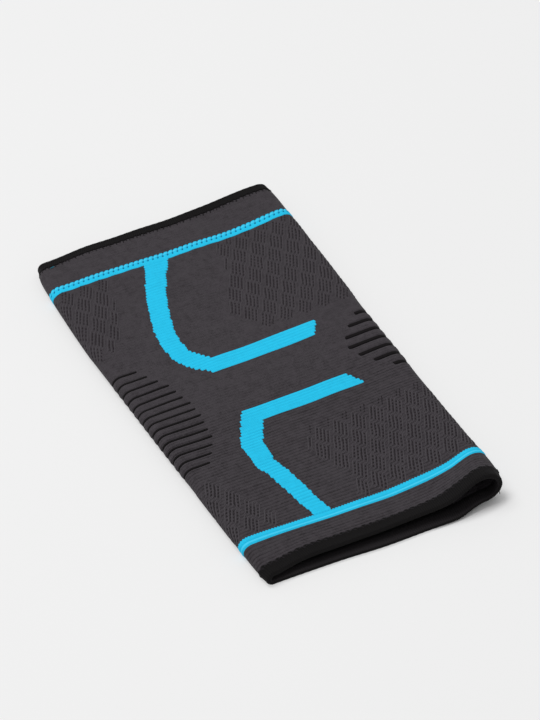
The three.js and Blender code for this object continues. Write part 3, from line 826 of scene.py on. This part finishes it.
def lay_ring(mesh, y, out, rise=None, pitch=1.0, material=0):
    """Lays a closed section all the way round the tube. Each step has a row of its places and heights."""
    y, out = np.concatenate([y, y[:, :1]], 1), np.concatenate([out, out[:, :1]], 1)
    around = np.linspace(0, 1, len(y))[:, None]
    points = skin(s_round(around + 0 * y, y), y, out)
    length = np.interp(y.mean(), MAP_Y, RING_LENGTH)
    rise = out if rise is None else np.concatenate([rise, rise[:, :1]], 1)
    points[-1] = points[0]
    lay_grid(mesh, points, around * length / pitch, courses_at(y), rise, material)


def twisted(across, around, length):
    """Slanting lobes like a twisted cord's over the outer half, and one smooth strand beside them."""
    place = (round(length / LOBE_PITCH) * around + LOBE_LEAN * across) % 1
    gap = np.exp(-((place - 0.5) / LOBE_GAP) ** 2) * smoothstep(across, *LOBES_BEGIN)
    gap = gap * (1 - SHALLOWER * smoothstep(across, *LOBES_SHALLOW))
    wander = 0.15 * np.sin(2 * np.pi * 31 * around) * smoothstep(across, 0.3, 0.0)
    return -0.25 * gap * smoothstep(across, 0.8, 1.0) + wander, -LOBE_DEPTH * gap


def toothed(across, around, length):
    """A row of small teeth along the inner edge, and one line raised in the outer half, where lay_stripe
    paints the yarn paler as a highlight.
    """
    tooth = np.cos(2 * np.pi * (round(length / TOOTH_PITCH) * around + 0.1 * np.sin(2 * np.pi * 7 * around)))
    line = np.exp(-((across - sum(CALF_HIGHLIT_PART) / 2) / LINE_WIDTH) ** 2)
    return TOOTH_SIZE * tooth * np.exp(-(1 - across) / TOOTH_FADE), LINE_HEIGHT * line


def lay_stripe(name, ends, node, form, highlit_part):
    """One ring, whose form gives its edges' wander and its relief, with a part across it painted paler as a
    highlight.
    """
    low, high = ends
    length = float(np.interp((low + high) / 2, MAP_Y, RING_LENGTH))
    around, across = np.linspace(0, 1, RING_STEPS + 1)[:, None], STRIPE_ACROSS[None, :]
    edge = np.minimum(smoothstep(across, -0.02, 0.12), smoothstep(across, 1.02, 0.88))
    shift, more = form(across, around, length)
    groove = GROOVE_DEPTH * np.exp(-((across - 0.5) / GROOVE_WIDTH) ** 2)
    out = STRIPE_LOW + STRIPE_RISE * edge - groove + more
    under = np.array([1.0, 0.5, 0.0])[None, :] + 0 * around
    y = np.concatenate([low + (high - low) * across + shift, low + (high - low) * under], 1)
    out = np.concatenate([out + 0 * around, STRIPE_DEEP + 0 * under], 1)
    # Painted highlight: these columns take the paler copy of the blue yarn.
    pale = (STRIPE_ACROSS >= highlit_part[0]) & (STRIPE_ACROSS < highlit_part[1])
    mesh = new_cloth_mesh()
    lay_ring(mesh, y, out, material=np.append(pale, np.zeros(under.shape[1] + 1)).astype(int))
    return make_piece(name, mesh, [BLUE_YARN, HIGHLIT_BLUE_YARN], [node])


thigh_ring = lay_stripe("thigh_stripe_knit", THIGH_STRIPE, "thigh_stripe", twisted, THIGH_HIGHLIT_PART)
calf_ring = lay_stripe("calf_stripe_knit", CALF_STRIPE, "calf_stripe", toothed, CALF_HIGHLIT_PART)

# Knee bands: the two blue angles on the front, knitted in course by course. Each course ends in a rounded
# stitch at a whole wale, so the slanting edges go in small steps, and each bar ends in a slant.
WALE = 0.8
BAND_OVERLAP, BAND_LAP = 1.3, 0.2
ONTO_STRIPE = 1.6
UNEVEN_ENDS = 0.15
END_ROUND, END_ROUNDED, PAST_ROUND = np.array([0.0, 0.10, 0.32, 0.7]), 0.7, 1.1
STRAND_DEEP, STRAND_TOP, STRAND_WAVE = -0.45, 0.27, 0.035
STRAND_SIDES = 8
dice = np.random.default_rng(7)


def rounded(away, length, least=0.0):
    """A strand's share of its full width, by how far a place is away from its round end."""
    return np.sqrt(np.clip(1 - (1 - np.clip(away / length, 0, 1)) ** 2, least, 1))


def lay_band(name, line, sign, edges, node, inner_edge):
    """One strand for each course, from the bar's far side along the leg and a little onto the stripe."""
    outline = band_outline(line, BAND_WIDTH / 2, sign)
    start = line[-1][1] * HALF_LENGTH + BAND_SHIFT - sign * (BAND_WIDTH / 2 - BAND_LAP)
    finish = inner_edge + sign * ONTO_STRIPE
    first_course = float(courses_at(start))
    bar = abs(float(courses_at(start + sign * (BAND_WIDTH - 2 * BAND_LAP))) - first_course)
    course = bar / round(bar)
    mesh = new_cloth_mesh()
    fine = np.linspace(-90, 90, 3601)
    for row in range(int(abs(float(courses_at(finish)) - first_course) / course)):
        y = float(y_of_course(first_course + sign * (row + 0.5) * course))
        pitch = abs(float(y_of_course(first_course + sign * (row + 1) * course)) - y) * 2
        heights = [place for _, place in outline]
        found = fine[inside(outline, fine, np.clip(y - BAND_SHIFT, min(heights) + 0.05, max(heights) - 0.05))]
        left, right = (round(edge / WALE) * WALE for edge in (found[0], found[-1]))
        places, more_left, more_right = zip(*edges)
        left = left + np.interp(y, places, more_left) + dice.uniform(-UNEVEN_ENDS, UNEVEN_ENDS)
        right = right + np.interp(y, places, more_right) + dice.uniform(-UNEVEN_ENDS, UNEVEN_ENDS)
        steps = max(int((right - left) / (WALE / 2)), 8)
        between = np.linspace(left + PAST_ROUND, right - PAST_ROUND, steps)
        u = np.concatenate([left + END_ROUND, between, right - END_ROUND[::-1]])
        full = rounded(np.minimum(u - left, right - u), END_ROUNDED)
        width = pitch / 2 * BAND_OVERLAP * np.maximum(full, 0.05)
        top = STRAND_TOP * full + STRAND_WAVE * np.cos(2 * np.pi * u / WALE)
        lay_cord(mesh, u, y + 0 * u, width, STRAND_DEEP, top, STRAND_SIDES)
    return make_piece(name, mesh, [BLUE_YARN], [node])


thigh_band = lay_band(
    "thigh_knee_band_knit", THIGH_BAND, 1, THIGH_LEG_EDGES, "thigh_knee_band", THIGH_STRIPE[0]
)
calf_band = lay_band(
    "calf_knee_band_knit", CALF_BAND, -1, CALF_LEG_EDGES, "calf_knee_band", CALF_STRIPE[1]
)

# Side ribs: black yarn laid in as rows over the folds, thin ones over the left fold and thick ones over the
# right. They sink between swollen grey ribs and go on under the sleeve until it meets the table.
BLACK_YARN = yarn_material(
    "black_yarn_knit", srgb(22, 19, 20), srgb(12, 10, 11),
    groove_shade=0.1, wale_shade=0.25, melange=0.4, sheen=0.01, bump=0.3,
)
RIB_UNDER, RIB_STEP, RIB_DEEP, RIB_OVERLAP = 11.5, 0.9, -0.7, 0.1
RIB_ROUND, RIB_ROUNDED, PAST_RIB_ROUND, RIB_LEAST = np.array([0.0, 0.06, 0.2, 0.45]), 0.45, 1.2, 0.03
RIB_TAPER = (0.9, 0.6, 0.1)


def lay_ribs(name, side, lines, width, stem, top):
    """One strand for each rib, from its inner end over the fold and on under the sleeve."""
    mesh = new_cloth_mesh()
    for y, reach in lines:
        edge = float(profile_at("left" if side < 0 else "right", y)) * HALF_WIDTH
        inner, outer = edge - side * reach, edge + side * RIB_UNDER
        steps = int(abs(outer - inner) / RIB_STEP)
        away = np.append(RIB_ROUND, np.linspace(PAST_RIB_ROUND, abs(outer - inner), steps))
        full = rounded(away, RIB_ROUNDED, RIB_LEAST)
        full[-len(RIB_TAPER):] *= RIB_TAPER
        half_width = (width + RIB_OVERLAP) / 2 * full
        lay_cord(mesh, inner + side * away, y + 0 * away, half_width, RIB_DEEP, top, STRAND_SIDES)
    nodes = [f"{stem}_{i + 1}" for i in range(len(lines))]
    return make_piece(name, mesh, [BLACK_YARN], nodes)


fine_ribs = lay_ribs("fine_ribs_knit", -1, FINE_LINES, FINE_RIB_WIDTH, "fine_rib", 0.02)
bold_ribs = lay_ribs("bold_ribs_knit", 1, BOLD_LINES, BOLD_RIB_WIDTH, "bold_rib", -0.04)

# Bindings: black woven elastic, folded in half over each end of the knit and overlocked to it with black
# thread, whose stitches pull the tape's inner edge into small scallops. One stray stitch is teal, and one
# thread end hangs loose.
BINDING_DEEP = -2.15
TAPE_RIB, TAPE_ROWS = 1.15, 2.4
TAPE_FUZZ, TAPE_BUMP_HEIGHT = 0.0009, 0.0002


def tape_material(name, deep, lit):
    """Woven elastic: fine ribs from edge to edge, crossed by rows."""
    material, shader, nodes = new_material(name)
    across, courses = nodes.node("ShaderNodeUVMap", {"uv_map": "cloth"}).x_and_y()
    ribs, rows = across.wave(), (courses * TAPE_ROWS).wave()
    fuzz = nodes.noise(TAPE_FUZZ)
    light = ribs * 0.45 + rows * 0.25 + fuzz * 0.5 - 0.1
    height = rows * 0.5 + fuzz * 0.5
    plug(shader, "Base Color", light.between(0.0, 1.0).colours(deep, lit))
    plug(shader, "Roughness", 0.95 - light * 0.15)
    plug(shader, "Normal", nodes.node(
        "ShaderNodeBump", (), {"Strength": 0.4, "Distance": TAPE_BUMP_HEIGHT, "Height": height}
    ))
    shader.inputs["Specular IOR Level"].default_value = 0.15
    shader.inputs["Sheen Weight"].default_value = 0.01
    return material


BLACK_TAPE = tape_material("black_elastic_tape", srgb(8, 7, 7), srgb(18, 16, 17))
# Painted light: the tape's inner face, seen in the ends' mouths, is a lighter copy of the same black tape.
LIT_TAPE_INSIDE = tape_material("black_elastic_tape_inside_painted_light", srgb(24, 22, 24), srgb(40, 37, 39))
THREAD_LOOK = {"groove_shade": 0.0, "wale_shade": 0.2, "melange": 0.4, "sheen": 0.0, "bump": 0.2}
# Painted light: the overlock is one black thread, in a darker copy at the thigh end and a lighter copy at the
# calf end.
SHADED_THREAD = yarn_material("overlock_thread_painted_shade", srgb(26, 23, 25), srgb(12, 10, 11), **THREAD_LOOK)
LIT_THREAD = yarn_material("overlock_thread_painted_light", srgb(50, 47, 50), srgb(22, 20, 22), **THREAD_LOOK)
TEAL_THREAD = yarn_material("stray_thread_teal", srgb(22, 118, 142), srgb(8, 60, 78), **THREAD_LOOK)
BINDING_STEPS = 1040
SCALLOP_FADE = 1.2
TAPE_RIB_HEIGHT, TAPE_LUMP = 0.045, 0.05
LEG_PLACES, LEG_LAST_PLACES = (0.0, 0.06, 0.22, 0.5, 1.0, 1.8, 2.8, 4.0), (3.2, 2.2)
LEG_IN = np.array([0.72, 0.42, 0.17, 0.03, 0.0, 0.02, 0.04, 0.04, 0.02, 0.0, 0.0])
TURN_PLACES = 9
THREAD_SIDES, THREAD_PLACES, THREAD_DEEP, THREAD_OVER = 5, 7, 0.6, 0.10


def lay_binding(name, end, width, proud, node, seed, stitch):
    """A folded tape at one end, and a mesh of its overlock stitches. A stitch reaches so far onto the tape
    and so far onto the knit, and every second one a little less."""
    edge, inner_edge = HALF_LENGTH, HALF_LENGTH - width
    length = float(np.interp(end * inner_edge, MAP_Y, RING_LENGTH))
    around = np.linspace(0, 1, BINDING_STEPS + 1)[:, None]
    stitches = round(length / PUCKER)
    uneven = 0.25 * np.sin(2 * np.pi * 9 * around + seed) + 0.2 * np.sin(2 * np.pi * 23 * around + 2 * seed)
    phase = stitches * around + 0.15 * np.sin(2 * np.pi * 17 * around + seed)
    scallop = stitch["scallop"] * (np.abs(np.sin(np.pi * phase)) - 0.6)
    ribs = TAPE_RIB_HEIGHT * np.cos(2 * np.pi * round(length / TAPE_RIB) * around)
    lump = TAPE_LUMP * np.cos(2 * np.pi * stitches * around + 1.0)
    radius, centre_out = (proud - BINDING_DEEP) / 2, (proud + BINDING_DEEP) / 2
    turn_at = edge - radius
    leg = np.sort([*LEG_PLACES, *(width - before for before in LEG_LAST_PLACES), width - radius])
    angle = np.linspace(np.pi / 2, -np.pi / 2, TURN_PLACES)[1:-1]
    turn_y, turn_out = turn_at + radius * np.cos(angle), centre_out + radius * np.sin(angle)
    back_y = [turn_at, edge - width * 0.6, inner_edge + 0.3, inner_edge + 0.3, turn_at, turn_at]
    back_out = [BINDING_DEEP, BINDING_DEEP, BINDING_DEEP + 0.1, BINDING_DEEP + 0.6, -1.3, -0.3]
    y = np.concatenate([inner_edge + leg, turn_y, back_y])[None, :] + 0 * around
    out = np.concatenate([proud - LEG_IN, turn_out, back_out])[None, :] + 0 * around
    shown = (np.arange(y.shape[1]) < len(leg) + len(angle))[None, :]
    near_edge = np.exp(-np.clip(y - inner_edge, 0, None) / SCALLOP_FADE) * shown
    y = y - (scallop + uneven * 0.35) * near_edge
    out = out + (ribs + lump) * shown * smoothstep(y, inner_edge, inner_edge + 1.2)
    y = np.minimum(y, edge)
    mesh = new_cloth_mesh()
    # Painted light: the faces inside the fold take the lighter copy of the tape.
    inner_face = (np.arange(y.shape[1] + 1) >= len(leg) + len(angle) - 2).astype(int)
    lay_ring(mesh, end * y, out, 0 * out + 1.0, TAPE_RIB, inner_face)
    binding = make_piece(name, mesh, [BLACK_TAPE, LIT_TAPE_INSIDE], [node])

    thread_mesh = new_cloth_mesh()
    to_middle = float(np.interp(end * inner_edge, MAP_Y, RUN_TO_MIDDLE))
    t = np.linspace(0, 1, THREAD_PLACES)
    for i in range(stitches * 2):
        u = to_middle - (i + 0.5) / (stitches * 2) * length
        share, slant = (1.0, 1.0) if i % 2 else (0.6, -0.8)
        wobble = dice.uniform(-0.2, 0.2, 2)
        y = inner_edge - stitch["onto_knit"] * share - wobble[0] * 0.6
        y = y + t * (stitch["onto_tape"] + stitch["onto_knit"]) * share
        lean = (t - 0.5) * stitch["lean"] * slant + wobble[1]
        arch = 0.3 + (proud - 0.1) * smoothstep(y, inner_edge - 0.5, inner_edge + 0.3)
        low, high = arch - THREAD_DEEP, arch + THREAD_OVER
        lay_cord(thread_mesh, u + lean, end * y, stitch["half_width"], low, high, THREAD_SIDES)
    return binding, thread_mesh


def u_at(s, y):
    """The cloth's u at a place round the tube."""
    row = int(np.argmin(np.abs(MAP_Y - y)))
    return RUN_TO_MIDDLE[row] - np.interp(s, MAP_S[row], MAP_W) * RING_LENGTH[row]


thigh_tape, thigh_thread = lay_binding(
    "thigh_binding_tape", 1, THIGH_BINDING_WIDTH, 0.35, "thigh_binding", 0.7,
    {"scallop": 0.6, "onto_tape": 0.8, "onto_knit": 2.1, "lean": 0.7, "half_width": 0.2},
)
calf_tape, calf_thread = lay_binding(
    "calf_binding_tape", -1, CALF_BINDING_WIDTH, 0.5, "calf_binding", 2.1,
    {"scallop": 1.5, "onto_tape": 2.2, "onto_knit": -0.4, "lean": 1.5, "half_width": 0.17},
)
STRAY_STITCH, STRAY_LENGTH, STRAY_SLANT = (2.972, 124.9), 3.0, 0.2
STRAY_HALF_WIDTH, STRAY_LOW, STRAY_HIGH = 0.3, -0.1, 0.34
stray = np.linspace(-0.5, 0.5, 6) * STRAY_LENGTH
lay_cord(
    thigh_thread, u_at(*STRAY_STITCH) + stray, STRAY_STITCH[1] + STRAY_SLANT * stray,
    STRAY_HALF_WIDTH, STRAY_LOW, STRAY_HIGH, material=1,
)
LOOSE_END, LOOSE_RUN, LOOSE_THICK = (1.33, -130.6), (2.0, -0.9, 2.6), 0.2
t = np.linspace(0, 1, 8)
loose_out = LOOSE_THICK + LOOSE_RUN[2] * t
lay_cord(
    calf_thread, u_at(*LOOSE_END) + LOOSE_RUN[0] * t, LOOSE_END[1] + LOOSE_RUN[1] * t,
    LOOSE_THICK, loose_out - LOOSE_THICK, loose_out + LOOSE_THICK,
)
thigh_overlock = make_piece("thigh_overlock", thigh_thread, [SHADED_THREAD, TEAL_THREAD])
calf_overlock = make_piece("calf_overlock", calf_thread, [LIT_THREAD])
